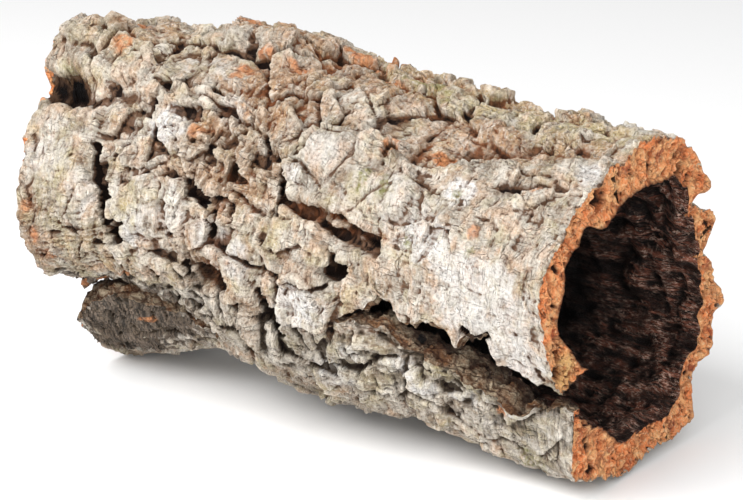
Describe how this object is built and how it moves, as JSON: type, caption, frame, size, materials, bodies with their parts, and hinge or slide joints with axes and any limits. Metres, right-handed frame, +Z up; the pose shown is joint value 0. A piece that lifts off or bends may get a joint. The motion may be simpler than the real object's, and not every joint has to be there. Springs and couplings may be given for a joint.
{
  "type": "hollow cork branch",
  "caption": "Length of virgin cork bark, grown as a tube: knobbly lichened crust outside, dark open tunnel inside, for an animal to hide in or plants to grow on.",
  "frame": {"origin": "centre of the bounding box in X and Y, on the surface the tube rests on", "axes": "+X along the tube to its thicker-walled sawn mouth; -Y is the front, where the long slit is; +Z up"},
  "size_m": [0.2801, 0.1634, 0.1753],
  "materials": {
    "weathered_cork": "matt weathered cork bark: grey-white to brown crust with dark cracks, orange where chipped and at the sawn ends, dark brown inside"
  },
  "bodies": {
    "root": {"cork_bark": "weathered_cork"}
  },
  "joints": []
}
